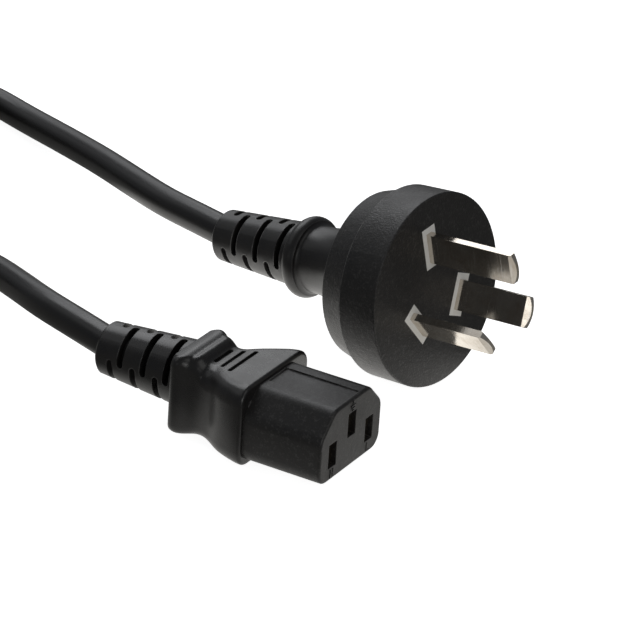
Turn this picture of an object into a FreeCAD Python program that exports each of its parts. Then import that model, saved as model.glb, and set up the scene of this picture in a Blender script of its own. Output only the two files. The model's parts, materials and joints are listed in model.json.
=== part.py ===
import FreeCAD, Part
import math
import os
import re
import Sketcher

# Mains lead: a moulded round plug with three flat pins, its cord, and the appliance connector on the far end.
# Millimetres. +X is the way the plug's pins point, +Z is up, and the floor is at z = 0.
# The origin is on the floor under the middle of the plug.

SIZES = {
    # Plug disc, measured back from its face
    "face_radius": 20.2,
    "face_edge": 0.25,
    "step_depth": 9.0,
    "step_radius": 20.0,
    "back_radius": 19.2,
    "back_depth": 15.5,
    "back_edge_radius": 17.4,
    # Neck and collar behind the disc
    "neck_root_radius": 12.4,
    "neck_flare": 22.0,
    "neck_radius": 7.05,
    "neck_depth": 30.4,
    "collar_fillet": 1.2,
    "collar_foot_depth": 31.2,
    "collar_foot_radius": 8.0,
    "collar_bulge": 2.1,
    "collar_depth": 33.9,
    "collar_edge_radius": 8.2,
    # Slotted tail of the plug
    "tail_root_radius": 6.9,
    "tail_depth": 55.5,
    "tail_end_radius": 5.5,
    "tail_edge": 0.5,
    # Relief slots: their shape, then each tail's pitch and the first slot of each pair of rows
    "relief_width": 1.5,
    "relief_turn": 45.0,
    "relief_floor_radius": 3.95,
    "relief_half_angle": 43.0,
    "plug_relief_pitch": 6.15,
    "plug_even_start": 6.6,
    "plug_odd_start": 3.6,
    "connector_relief_pitch": 5.65,
    "connector_even_start": 6.4,
    "connector_odd_start": 3.9,
    # Pins
    "blade_width": 6.35,
    "blade_thickness": 1.6,
    "earth_length": 21.8,
    "live_length": 18.4,
    "blade_root": 8.5,
    "bevel_length": 1.5,
    "bevel_depth": 0.45,
    "tip_radius": 6.0,
    "earth_pin_radius": 10.31,
    "live_pin_radius": 7.92,
    "pattern_offset": 0.5,
    "crimp_side": 2.6,
    "crimp_length": 3.5,
    # White carrier that holds the pins
    "boss_width": 8.9,
    "boss_thickness": 4.05,
    "plate_depth": 4.0,
    "plate_thickness": 4.0,
    "plate_radius": 16.0,
    # Cord and its cores
    "cord_radius": 3.3,
    "core_radius": 1.15,
    "strand_radius": 0.55,
    "core_lay": 1.45,
    "fit_gap": 0.05,
    "core_strip": 0.4,
    "core_run": 0.6,
    "sheath_depth": 30.0,
    "bend_radius": 27.0,
    "mouth_clear": 0.3,
    "plug_bend": 14.0,
    "connector_bend": 19.3,
    # Connector nose, measured back from its face and up from its lower edge
    "nose_width": 23.4,
    "nose_height": 14.9,
    "nose_chamfer": 5.0,
    "nose_corner": 3.0,
    "nose_soft": 3.2,
    "nose_edge": 0.6,
    "panel_half_width": 3.5,
    "panel_back": 17.2,
    "panel_front": 0.8,
    "panel_depth": 0.3,
    "slot_height": 5.25,
    "slot_width": 3.03,
    "slot_pitch": 14.0,
    "slot_level": 5.5,
    "earth_slot_rise": 3.93,
    "stub_width": 20.0,
    "stub_height": 10.6,
    "stub_bottom": 2.0,
    "stub_depth": 24.0,
    "contact_wall": 0.4,
    "contact_recess": 1.8,
    "contact_depth": 17.5,
    "contact_floor": 1.0,
    "contact_gap": 0.1,
    # Connector grip: three cross grooves and the tail
    "groove_width": 0.9,
    "flange_edge": 0.7,
    "connector_tail_level": 8.8,
    "connector_tail_root_radius": 7.0,
    "connector_tail_depth": 56.5,
    "connector_tail_end_radius": 5.5,
    "connector_sheath_depth": 38.0,
    # How the two ends lie
    "plug_tilt": 6.0,
    "plug_roll": 6.7,
    "connector_tilt": 1.15,
    "connector_turn": 8.5,
    "connector_roll": -1.9,
    "connector_x": 28.38,
    "connector_y": -40.79,
    # Coil of spare cord and its tie
    "coil_radius": 35.2,
    "coil_x": -175.0,
    "coil_y": -8.8,
    "coil_rings": 3,
    "coil_layers": 2,
    "coil_corner": 2.4,
    "coil_entry_angle": 94.0,
    "coil_exit_angle": -72.0,
    "lead_straight": 25.0,
    "exit_run": 9.5,
    "entry_run": 12.0,
    "tie_thickness": 0.8,
    "tie_span": 14.0,
    "tie_angle": 200.0,
}

# Outline of the grip at each station: depth, half width, underside, top, lower and upper corner radius
STATIONS = {
    "flange": (17.6, 12.6, -1.4, 15.8, 3.6, 3.6),
    "lip": (18.8, 12.6, -1.4, 15.8, 3.6, 3.6),
    "swell": (20.9, 12.1, -1.35, 15.6, 3.6, 3.6),
    "slope": (24.0, 10.8, -1.2, 15.3, 3.2, 3.8),
    "ease": (27.0, 8.9, -0.9, 15.1, 2.8, 4.0),
    "waist": (29.6, 7.8, -0.4, 15.0, 2.4, 4.0),
    "rise": (31.8, 7.5, -0.6, 15.6, 2.2, 3.2),
    "crest": (33.6, 8.1, -0.9, 16.2, 2.2, 2.4),
    "heel": (36.8, 8.3, -0.9, 15.9, 2.2, 2.2),
}

# Cross grooves in the saddle of the grip: depth, length and floor level
GROOVES = {
    "rear_groove": (29.7, 6.8, 14.3),
    "middle_groove": (27.5, 8.8, 14.4),
    "front_groove": (25.2, 10.8, 14.5),
}

for station, (depth, half, base, crown, corner, shoulder) in STATIONS.items():
    SIZES[station + "_depth"] = depth
    SIZES[station + "_half_width"] = half
    SIZES[station + "_base"] = base
    SIZES[station + "_crown"] = crown
    SIZES[station + "_corner"] = corner
    SIZES[station + "_shoulder"] = shoulder
for groove, (depth, length, floor) in GROOVES.items():
    SIZES[groove + "_depth"] = depth
    SIZES[groove + "_length"] = length
    SIZES[groove + "_floor"] = floor

doc = FreeCAD.newDocument("MainsLead")
sheet = doc.addObject("Spreadsheet::Sheet", "Sizes")
for row, (name, value) in enumerate(SIZES.items(), start=1):
    sheet.set(f"A{row}", name)
    sheet.set(f"B{row}", str(value))
    sheet.setAlias(f"B{row}", name)
doc.recompute()

X_AXIS = FreeCAD.Vector(1, 0, 0)
Y_AXIS = FreeCAD.Vector(0, 1, 0)
Z_AXIS = FreeCAD.Vector(0, 0, 1)


def cells(formula):
    return re.sub(r"[a-z][a-z_]*", lambda word: "Sizes." + word[0] if word[0] in SIZES else word[0], formula)


def number(formula):
    result = sheet.evalExpression(cells(formula))
    return float(getattr(result, "Value", result))


def bind(thing, **formulas):
    for name, formula in formulas.items():
        thing.setExpression(name.replace("__", "."), cells(formula))
    return thing


# Sketches are drawn from corners whose places are formulas of the sizes
def sketch_on(body, role, name, offset=None):
    plane = next(feature for feature in body.Origin.OriginFeatures if feature.Role == role)
    sketch = body.newObject("Sketcher::SketchObject", name)
    sketch.AttachmentSupport = [(plane, "")]
    sketch.MapMode = "FlatFace"
    if offset:
        sketch.AttachmentOffset = offset
    return sketch


def pin_point(sketch, geo, end, x, y):
    for kind, formula in (("DistanceX", x), ("DistanceY", y)):
        index = sketch.addConstraint(Sketcher.Constraint(kind, -1, 1, geo, end, number(formula)))
        label = f"{kind}{geo}_{end}"
        sketch.renameConstraint(index, label)
        sketch.setExpression(f"Constraints.{label}", cells(formula))


def nearer_end(sketch, geo, spot):
    return min((1, 2), key=lambda end: (sketch.getPoint(geo, end) - spot).Length)


def outline(sketch, corners, closed=True):
    # A corner is x, y and, where an arc leaves it, the arc's radius: above zero turns left, below zero turns right
    spots = [FreeCAD.Vector(number(corner[0]), number(corner[1]), 0) for corner in corners]
    count = len(corners) if closed else len(corners) - 1
    ends = []
    for i in range(count):
        start = spots[i]
        stop = spots[(i + 1) % len(spots)]
        if len(corners[i]) == 2:
            geo = sketch.addGeometry(Part.LineSegment(start, stop), False)
        else:
            bend = number(corners[i][2])
            chord = stop - start
            half = chord.Length / 2
            rise = abs(bend) - math.sqrt(max(bend * bend - half * half, 0))
            side = FreeCAD.Vector(chord.y, -chord.x, 0).normalize() * math.copysign(rise, bend)
            geo = sketch.addGeometry(Part.Arc(start, (start + stop) / 2 + side, stop), False)
        ends.append((geo, nearer_end(sketch, geo, start), nearer_end(sketch, geo, stop)))
    for i, (geo, begin, finish) in enumerate(ends):
        pin_point(sketch, geo, begin, corners[i][0], corners[i][1])
        if i + 1 < len(ends) or closed:
            after, after_begin = ends[(i + 1) % len(ends)][:2]
            sketch.addConstraint(Sketcher.Constraint("Coincident", geo, finish, after, after_begin))
        else:
            pin_point(sketch, geo, finish, corners[i + 1][0], corners[i + 1][1])
        if len(corners[i]) == 3:
            index = sketch.addConstraint(Sketcher.Constraint("Radius", geo, abs(number(corners[i][2]))))
            label = f"Radius{geo}"
            sketch.renameConstraint(index, label)
            sketch.setExpression(f"Constraints.{label}", cells(f"abs({corners[i][2]})"))


def rectangle(sketch, left, bottom, right, top):
    outline(sketch, [(left, bottom), (right, bottom), (right, top), (left, top)])


def rounded(sketch, left, bottom, right, top, corner, shoulder=None):
    upper = shoulder or corner
    outline(
        sketch,
        [
            (f"{left} + {corner}", bottom),
            (f"{right} - {corner}", bottom, corner),
            (right, f"{bottom} + {corner}"),
            (right, f"{top} - {upper}", upper),
            (f"{right} - {upper}", top),
            (f"{left} + {upper}", top, upper),
            (left, f"{top} - {upper}"),
            (left, f"{bottom} + {corner}", corner),
        ],
    )


def circle(sketch, x, radius):
    geo = sketch.addGeometry(Part.Circle(FreeCAD.Vector(number(x), 0, 0), Z_AXIS, number(radius)), False)
    pin_point(sketch, geo, 3, x, "0")
    index = sketch.addConstraint(Sketcher.Constraint("Radius", geo, number(radius)))
    sketch.renameConstraint(index, f"Radius{geo}")
    sketch.setExpression(f"Constraints.Radius{geo}", cells(radius))


# Features
def turned(body, kind, name, sketch, angle="360"):
    feature = body.newObject(f"PartDesign::{kind}", name)
    feature.Profile = sketch
    feature.ReferenceAxis = (sketch, ["H_Axis"])
    feature.Midplane = angle != "360"
    bind(feature, Angle=angle)
    return feature


def pad(body, name, sketch, length, midplane=False, backwards=False):
    feature = body.newObject("PartDesign::Pad", name)
    feature.Profile = sketch
    feature.Midplane = midplane
    feature.Reversed = backwards
    bind(feature, Length=length)
    return feature


def pocket_through(body, name, sketch, outwards=True):
    feature = body.newObject("PartDesign::Pocket", name)
    feature.Profile = sketch
    feature.Type = "ThroughAll"
    feature.Reversed = outwards
    return feature


def make_body(name):
    body = doc.addObject("PartDesign::Body", name)
    return body


def combined(kind, name, **links):
    result = doc.addObject(f"Part::{kind}", name)
    for link, value in links.items():
        setattr(result, link, value)
    return result


def box(name, x, y, z, length, width, height):
    # x is the front end and the box runs back from it; y is its middle and z its underside
    block = doc.addObject("Part::Box", name)
    bind(block, Length=length, Width=width, Height=height)
    bind(block, Placement__Base__x=f"{x} - ({length})", Placement__Base__y=f"{y} - ({width}) / 2")
    bind(block, Placement__Base__z=z)
    return block


# Three slots in each of four rows: two facing rows are even, the two between them odd, about half a pitch off
def cut_reliefs(body, end, end_depth, root_radius):
    for row, radial, normal in (("even", "XZ_Plane", "XY_Plane"), ("odd", "XY_Plane", "XZ_Plane")):
        prefix = (end + row.capitalize()).capitalize()
        places = [f"-({end_depth}) + {end}_{row}_start + {k} * {end}_relief_pitch" for k in range(3)]
        middle = sketch_on(body, radial, f"{prefix}Slots")
        for place in places:
            rectangle(
                middle,
                f"{place} - relief_width / 2",
                "relief_floor_radius",
                f"{place} + relief_width / 2",
                f"{root_radius} + 1",
            )
        features = [turned(body, "Groove", f"{prefix}Groove", middle, "2 * relief_half_angle")]
        for turn in (-1, 1):
            lean = FreeCAD.Rotation(X_AXIS, turn * number("relief_half_angle"))
            offset = FreeCAD.Placement(lean.multVec(Z_AXIS) * number("relief_floor_radius"), lean)
            ends = sketch_on(body, normal, f"{prefix}Ends{turn + 2}", offset)
            for place in places:
                circle(ends, place, "relief_width / 2")
            features.append(pocket_through(body, f"{prefix}Round{turn + 2}", ends))
        pattern = body.newObject("PartDesign::PolarPattern", f"{prefix}Rows")
        pattern.Originals = features
        pattern.Axis = (middle, ["H_Axis"])
        pattern.Angle = 360
        pattern.Occurrences = 2
        body.Tip = pattern
    body.Placement = FreeCAD.Placement(FreeCAD.Vector(), FreeCAD.Rotation(X_AXIS, number("relief_turn")))
    bind(body, Placement__Rotation__Angle="relief_turn")


def plug_outside():
    body = make_body("PlugOutside")
    profile = sketch_on(body, "XZ_Plane", "PlugProfile")
    outline(
        profile,
        [
            ("0", "0"),
            ("-tail_depth", "0"),
            ("-tail_depth", "tail_end_radius - tail_edge"),
            ("-tail_depth + tail_edge", "tail_end_radius"),
            ("-collar_depth", "tail_root_radius"),
            ("-collar_depth", "collar_edge_radius", "-collar_bulge"),
            ("-collar_foot_depth", "collar_foot_radius", "collar_fillet"),
            ("-neck_depth", "neck_radius", "neck_flare"),
            ("-back_depth", "neck_root_radius"),
            ("-back_depth", "back_edge_radius"),
            ("-step_depth", "back_radius"),
            ("-step_depth", "step_radius"),
            ("-face_edge", "face_radius", "-face_edge"),
            ("0", "face_radius - face_edge"),
        ],
    )
    turned(body, "Revolution", "PlugTurned", profile)
    cut_reliefs(body, "plug", "tail_depth", "tail_root_radius")
    return body


# Pins: a blade with a bevelled, bowed tip and a crimp on its root, pointing along +X about its own middle
def blade(name, length):
    side = make_body(name + "Side")
    edge = sketch_on(side, "XY_Plane", name + "Edge")
    outline(
        edge,
        [
            ("-blade_root", "-blade_thickness / 2"),
            (f"{length} - bevel_length", "-blade_thickness / 2"),
            (length, "-blade_thickness / 2 + bevel_depth"),
            (length, "blade_thickness / 2 - bevel_depth"),
            (f"{length} - bevel_length", "blade_thickness / 2"),
            ("-blade_root", "blade_thickness / 2"),
        ],
    )
    pad(side, name + "Width", edge, "blade_width", midplane=True)
    face = make_body(name + "Face")
    plan = sketch_on(face, "XZ_Plane", name + "Plan")
    bow = "(tip_radius - sqrt(tip_radius ^ 2 - blade_width ^ 2 / 4))"
    outline(
        plan,
        [
            ("-blade_root", "-blade_width / 2"),
            (f"{length} - {bow}", "-blade_width / 2", "tip_radius"),
            (f"{length} - {bow}", "blade_width / 2"),
            ("-blade_root", "blade_width / 2"),
        ],
    )
    pad(face, name + "Thickness", plan, "blade_thickness", midplane=True)
    flat = combined("Common", name + "Blade", Base=side, Tool=face)
    barrel = box(name + "Barrel", "-blade_root", "0", "-crimp_side / 2", "crimp_length", "crimp_side", "crimp_side")
    whole = combined("Fuse", name + "Whole", Base=flat, Tool=barrel)
    bore = doc.addObject("Part::Cylinder", name + "Bore")
    bind(bore, Radius="strand_radius + fit_gap", Height="crimp_length")
    bore.Placement = FreeCAD.Placement(FreeCAD.Vector(), FreeCAD.Rotation(Y_AXIS, 90))
    bind(bore, Placement__Base__x="-blade_root - crimp_length")
    return whole, combined("Cut", name, Base=whole, Tool=bore)


# A core runs in the sheath, then bends out in its own radial plane to the crimp that holds it
def core_path(name, end_depth, sheath_depth, target_depth, target_radius, stop_depth, placement):
    path = doc.addObject("Sketcher::SketchObject", name)
    half_run = f"(({sheath_depth}) - ({target_depth})) / 2"
    half_rise = f"(({target_radius}) - core_lay) / 2"
    bend = f"(({half_run}) ^ 2 + ({half_rise}) ^ 2) / (2 * ({half_rise}))"
    outline(
        path,
        [
            (f"-({end_depth})", "core_lay"),
            (f"-({sheath_depth})", "core_lay", bend),
            (f"-({target_depth}) - {half_run}", f"core_lay + {half_rise}", f"-1 * ({bend})"),
            (f"-({target_depth})", target_radius),
            (f"-({stop_depth})", target_radius),
        ],
        closed=False,
    )
    path.Placement = placement
    return path


def swept(name, path, radius):
    ring = doc.addObject("Part::Circle", name + "Ring")
    bind(ring, Radius=radius)
    start = path.Placement.multVec(path.getPoint(0, nearer_end(path, 0, path.getPoint(0, 1))))
    ring.Placement = FreeCAD.Placement(start, FreeCAD.Rotation(Y_AXIS, 90))
    result = doc.addObject("Part::Sweep", name)
    result.Sections = [ring]
    result.Spine = (path, [f"Edge{i + 1}" for i in range(path.GeometryCount)])
    result.Solid = True
    return result


def radial_plane(across, up, level=0.0):
    # Turns a sketch drawn in XY so that its Y axis points from the tail's axis to a pin
    lift = FreeCAD.Rotation(X_AXIS, math.degrees(math.atan2(up, across)))
    return FreeCAD.Placement(FreeCAD.Vector(0, 0, level), lift)


def core_set(name, end_depth, sheath_depth, crimp_depth, across, up, radius, level=0.0):
    plane = radial_plane(across, up, level)
    target = f"{crimp_depth} + core_run"
    bare = core_path(
        name + "BarePath", end_depth, sheath_depth, target, radius, f"{crimp_depth} - crimp_length + core_strip", plane
    )
    covered = core_path(
        name + "CoverPath", end_depth, sheath_depth, target, radius, f"{crimp_depth} + core_strip", plane
    )
    strands = swept(name + "Strands", bare, "strand_radius")
    cover = swept(name + "Cover", covered, "core_radius")
    bore = swept(name + "CoverBore", covered, "strand_radius + fit_gap")
    seat = swept(name + "Seat", bare, "core_radius + fit_gap")
    return strands, combined("Cut", name + "Core", Base=cover, Tool=bore), seat


def bend_start(end_depth, bend):
    # The bend starts far enough inside the tail for its whole outer end to clear the tail's mouth
    return f"({end_depth} - ((bend_radius - cord_radius) * sin({bend}) - mouth_clear))"


def sheath_end(name, end_depth, sheath_depth, bend, angles, level="0"):
    stop = bend_start(end_depth, bend)

    def rod(rod_name, radius, angle=None):
        cylinder = doc.addObject("Part::Cylinder", rod_name)
        bind(cylinder, Radius=radius, Height=f"{stop} - {sheath_depth}")
        cylinder.Placement = FreeCAD.Placement(FreeCAD.Vector(), FreeCAD.Rotation(Y_AXIS, 90))
        bind(cylinder, Placement__Base__x=f"-{stop}", Placement__Base__z=level)
        if angle is not None:
            bind(cylinder, Placement__Base__y=f"core_lay * cos({angle})")
            bind(cylinder, Placement__Base__z=f"{level} + core_lay * sin({angle})")
        return cylinder

    def bent_rod(rod_name, radius):
        elbow = doc.addObject("Part::Torus", rod_name + "Elbow")
        bind(elbow, Radius1="bend_radius", Radius2=radius, Angle3=bend)
        elbow.Placement = FreeCAD.Placement(FreeCAD.Vector(), FreeCAD.Rotation(Z_AXIS, -90))
        bind(elbow, Placement__Rotation__Angle=f"-(90 + {bend})")
        bind(elbow, Placement__Base__x=f"-{stop}", Placement__Base__y="bend_radius", Placement__Base__z=level)
        return combined("Fuse", rod_name, Base=rod(rod_name + "Straight", radius), Tool=elbow)

    jacket = bent_rod(name + "Jacket", "cord_radius")
    holes = [rod(f"{name}Hole{k}", "core_radius + fit_gap", angle) for k, angle in enumerate(angles)]
    bores = combined("MultiFuse", name + "Holes", Shapes=holes)
    return combined("Cut", name, Base=jacket, Tool=bores), bent_rod(name + "Seat", "cord_radius + fit_gap")


# Plug: the pins stand in a white carrier, the cores are crimped to them and black plastic is moulded over all
def plug_pieces():
    lengths = {"earth": "earth_length", "live": "live_length", "neutral": "live_length"}
    reach = {
        "earth": "earth_pin_radius - pattern_offset",
        "live": "sqrt(live_pin_radius ^ 2 + pattern_offset ^ 2 + live_pin_radius * pattern_offset)",
    }
    reach["neutral"] = reach["live"]
    across = {"earth": "0", "live": "-live_pin_radius * sin(120)", "neutral": "live_pin_radius * sin(120)"}
    up = {"earth": "earth_pin_radius - pattern_offset", "live": "live_pin_radius * cos(120) - pattern_offset"}
    up["neutral"] = up["live"]
    twist = {"earth": 0, "live": 30, "neutral": -30}
    pieces, tools, seats, angles = {}, [], [], []
    plate = doc.addObject("Part::Prism", "CarrierPlate")
    plate.Polygon = 6
    bind(plate, Circumradius="plate_radius", Height="plate_thickness")
    plate.Placement = FreeCAD.Placement(FreeCAD.Vector(), FreeCAD.Rotation(Y_AXIS, 90))
    bind(plate, Placement__Base__x="-plate_depth - plate_thickness")
    carrier = [plate]
    for pole in ("earth", "live", "neutral"):
        whole, pin = blade(pole.capitalize() + "Pin", lengths[pole])
        boss = box(pole.capitalize() + "Boss", "0", "0", "-boss_width / 2", "plate_depth", "boss_thickness", "boss_width")
        lean = FreeCAD.Rotation(X_AXIS, twist[pole])
        spot = FreeCAD.Vector(0, number(across[pole]), number(up[pole]))
        for piece in (whole, pin, boss):
            moved = doc.addObject("Part::Compound", piece.Name + "Set")
            moved.Links = [piece]
            moved.Placement = FreeCAD.Placement(spot, lean)
            bind(moved, Placement__Base__y=across[pole], Placement__Base__z=up[pole])
            if piece is boss:
                carrier.append(moved)
            elif piece is whole:
                tools.append(moved)
            else:
                pieces[pole + "_pin"] = moved
        strands, core, seat = core_set(
            "Plug" + pole.capitalize(),
            bend_start("tail_depth", "plug_bend"),
            "sheath_depth",
            "blade_root + crimp_length",
            spot.y,
            spot.z,
            reach[pole],
        )
        pieces[f"plug_{pole}_core"] = core
        pieces[f"plug_{pole}_strands"] = strands
        seats.append(seat)
        angles.append(f"{math.degrees(math.atan2(spot.z, spot.y)):.3f}")
    solid = combined("MultiFuse", "CarrierSolid", Shapes=carrier)
    blades = combined("MultiFuse", "BladeSet", Shapes=tools)
    pieces["pin_carrier"] = combined("Cut", "PinCarrier", Base=solid, Tool=blades)
    sheath, sheath_seat = sheath_end("PlugSheath", "tail_depth", "sheath_depth", "plug_bend", angles)
    pieces["plug_sheath_end"] = sheath
    inside = combined("MultiFuse", "PlugInside", Shapes=[solid, blades, sheath_seat, *seats])
    pieces["plug_body"] = combined("Cut", "PlugMoulding", Base=plug_outside(), Tool=inside)
    return pieces


# Connector: a hard nose with three slots, a folded contact behind each, and a grip moulded over its back
def edges_where(shape, test):
    return [f"Edge{i + 1}" for i, edge in enumerate(shape.Edges) if all(test(vertex.Point) for vertex in edge.Vertexes)]


def nose():
    body = make_body("NoseBody")
    front = sketch_on(body, "YZ_Plane", "NoseFront")
    # The chamfers stand at 45 degrees, and the arc at each of their ends starts this far from the sharp corner
    soft = "nose_soft * tan(45 / 2)"
    lean = f"{soft} * cos(45)"
    outline(
        front,
        [
            ("-nose_width / 2 + nose_corner", "0"),
            ("nose_width / 2 - nose_corner", "0", "nose_corner"),
            ("nose_width / 2", "nose_corner"),
            ("nose_width / 2", f"nose_height - nose_chamfer - {soft}", "nose_soft"),
            (f"nose_width / 2 - {lean}", f"nose_height - nose_chamfer + {lean}"),
            (f"nose_width / 2 - nose_chamfer + {lean}", f"nose_height - {lean}", "nose_soft"),
            (f"nose_width / 2 - nose_chamfer - {soft}", "nose_height"),
            (f"-nose_width / 2 + nose_chamfer + {soft}", "nose_height", "nose_soft"),
            (f"-nose_width / 2 + nose_chamfer - {lean}", f"nose_height - {lean}"),
            (f"-nose_width / 2 + {lean}", f"nose_height - nose_chamfer + {lean}", "nose_soft"),
            ("-nose_width / 2", f"nose_height - nose_chamfer - {soft}"),
            ("-nose_width / 2", "nose_corner", "nose_corner"),
        ],
    )
    block = pad(body, "NosePad", front, "flange_depth", backwards=True)
    doc.recompute()
    rim = body.newObject("PartDesign::Fillet", "NoseRim")
    rim.Base = (block, edges_where(block.Shape, lambda point: abs(point.x) < number("fit_gap")))
    bind(rim, Radius="nose_edge")
    stub = box(
        "NoseStub", "-flange_depth", "0", "stub_bottom", "stub_depth - flange_depth", "stub_width", "stub_height"
    )
    return combined("Fuse", "NoseSolid", Base=body, Tool=stub)


def grip():
    body = make_body("GripBody")
    sections = []
    for station in STATIONS:
        section = sketch_on(body, "YZ_Plane", station.capitalize() + "Section")
        bind(section, AttachmentOffset__Base__z=f"-{station}_depth")
        half = f"{station}_half_width"
        base, crown = f"{station}_base", f"{station}_crown"
        rounded(section, f"-{half}", base, half, crown, f"{station}_corner", f"{station}_shoulder")
        sections.append(section)
    loft = body.newObject("PartDesign::AdditiveLoft", "GripLoft")
    loft.Profile = sections[0]
    loft.Sections = sections[1:]
    doc.recompute()
    front = -number("flange_depth")
    edge = body.newObject("PartDesign::Fillet", "FlangeEdge")
    edge.Base = (loft, edges_where(loft.Shape, lambda point: abs(point.x - front) < number("fit_gap")))
    bind(edge, Radius="flange_edge")
    for groove in GROOVES:
        bar = sketch_on(body, "XY_Plane", groove.replace("_", ""))
        bind(bar, AttachmentOffset__Base__z=f"{groove}_floor")
        back = f"-{groove}_depth - groove_width / 2"
        front = f"-{groove}_depth + groove_width / 2"
        reach = f"({groove}_length - groove_width) / 2"
        outline(
            bar,
            [
                (back, f"-{reach}", "0.51 * groove_width"),
                (front, f"-{reach}"),
                (front, reach, "0.51 * groove_width"),
                (back, reach),
            ],
        )
        pocket_through(body, groove.replace("_", "") + "Cut", bar)
    return body


def connector_tail():
    body = make_body("TailBody")
    profile = sketch_on(body, "XZ_Plane", "TailProfile")
    outline(
        profile,
        [
            ("-crest_depth", "0"),
            ("-connector_tail_depth", "0"),
            ("-connector_tail_depth", "connector_tail_end_radius - tail_edge"),
            ("-connector_tail_depth + tail_edge", "connector_tail_end_radius"),
            ("-heel_depth", "connector_tail_root_radius"),
            ("-crest_depth", "connector_tail_root_radius - tail_edge"),
        ],
    )
    turned(body, "Revolution", "TailTurned", profile)
    cut_reliefs(body, "connector", "connector_tail_depth", "connector_tail_root_radius")
    bind(body, Placement__Base__z="connector_tail_level")
    return body


def connector_pieces():
    across = {"earth": "0", "live": "slot_pitch / 2", "neutral": "-slot_pitch / 2"}
    level = {"earth": "slot_level + earth_slot_rise", "live": "slot_level", "neutral": "slot_level"}
    tail_level = number("connector_tail_level")
    pieces, cuts, seats, angles = {}, [], [], []
    for pole in ("earth", "live", "neutral"):
        name = "Contact" + pole.capitalize()
        y, z = across[pole], level[pole]
        slot = box(name + "Slot", "0", y, f"{z} - slot_height / 2", "contact_depth", "slot_width", "slot_height")
        height = "slot_height - 2 * contact_gap"
        width = "slot_width - 2 * contact_gap"
        length = "contact_depth - contact_recess"
        sleeve = box(name + "Sleeve", "-contact_recess", y, f"{z} - ({height}) / 2", length, width, height)
        inner_height = f"{height} - 2 * contact_wall"
        inner = box(
            name + "Inner",
            "-contact_recess",
            y,
            f"{z} - ({inner_height}) / 2",
            f"{length} - contact_floor",
            f"{width} - 2 * contact_wall",
            inner_height,
        )
        folded = combined("Cut", name + "Folded", Base=sleeve, Tool=inner)
        barrel = box(name + "Barrel", "-contact_depth", y, f"{z} - crimp_side / 2", "crimp_length", "crimp_side", "crimp_side")
        whole = combined("Fuse", name + "Whole", Base=folded, Tool=barrel)
        bore = doc.addObject("Part::Cylinder", name + "Bore")
        bind(bore, Radius="strand_radius + fit_gap", Height="crimp_length")
        bore.Placement = FreeCAD.Placement(FreeCAD.Vector(), FreeCAD.Rotation(Y_AXIS, 90))
        bind(bore, Placement__Base__x="-contact_depth - crimp_length", Placement__Base__y=y, Placement__Base__z=z)
        pieces[pole + "_contact"] = combined("Cut", name, Base=whole, Tool=bore)
        rise = number(z) - tail_level
        strands, core, seat = core_set(
            "Connector" + pole.capitalize(),
            bend_start("connector_tail_depth", "connector_bend"),
            "connector_sheath_depth",
            "contact_depth + crimp_length",
            number(y),
            rise,
            f"sqrt(({y}) ^ 2 + ({z} - connector_tail_level) ^ 2)",
            tail_level,
        )
        pieces[f"connector_{pole}_core"] = core
        pieces[f"connector_{pole}_strands"] = strands
        cuts += [slot, barrel]
        seats.append(seat)
        angles.append(f"{math.degrees(math.atan2(rise, number(y))):.3f}")
    block = nose()
    panel = box(
        "NosePanel",
        "-panel_front",
        "0",
        "nose_height - panel_depth",
        "panel_back - panel_front",
        "2 * panel_half_width",
        "2 * panel_depth",
    )
    hollow = combined("MultiFuse", "NoseHollow", Shapes=[panel, *cuts, *seats])
    pieces["connector_nose"] = combined("Cut", "ConnectorNose", Base=block, Tool=hollow)
    sheath, sheath_seat = sheath_end(
        "ConnectorSheath",
        "connector_tail_depth",
        "connector_sheath_depth",
        "connector_bend",
        angles,
        "connector_tail_level",
    )
    pieces["connector_sheath_end"] = sheath
    outside = combined("MultiFuse", "GripAndTail", Shapes=[grip(), connector_tail()])
    inside = combined("MultiFuse", "ConnectorInside", Shapes=[block, sheath_seat, *seats])
    pieces["connector_body"] = combined("Cut", "ConnectorGrip", Base=outside, Tool=inside)
    return pieces


# Coil of the spare cord: rings side by side and on each other, with a straight end out of its first and last ring
def coil_piece():
    body = make_body("CoilBody")
    profile = sketch_on(body, "XZ_Plane", "CoilProfile")
    width = "coil_rings * cord_radius"
    base = "tie_thickness"
    crown = "tie_thickness + 2 * coil_layers * cord_radius"
    rounded(profile, f"coil_radius - {width}", base, f"coil_radius + {width}", crown, "coil_corner")
    ring = body.newObject("PartDesign::Revolution", "CoilRing")
    ring.Profile = profile
    ring.ReferenceAxis = (profile, ["V_Axis"])
    ends = []
    for name, angle, way, height in (
        ("CoilEntry", "coil_entry_angle", 180, "tie_thickness + cord_radius"),
        ("CoilExit", "coil_exit_angle", 0, "tie_thickness + (2 * coil_layers - 1) * cord_radius"),
    ):
        end = doc.addObject("Part::Cylinder", name)
        bind(end, Radius="cord_radius", Height="lead_straight")
        heading = FreeCAD.Rotation(Z_AXIS, number(angle) + 90 + way)
        end.Placement = FreeCAD.Placement(FreeCAD.Vector(), heading * FreeCAD.Rotation(Y_AXIS, 90))
        ring_radius = "(coil_radius + (coil_rings - 1) * cord_radius)"
        bind(end, Placement__Base__x=f"{ring_radius} * cos({angle})", Placement__Base__y=f"{ring_radius} * sin({angle})")
        bind(end, Placement__Base__z=height)
        ends.append(end)
    return combined("MultiFuse", "Coil", Shapes=[body, *ends])


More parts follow.
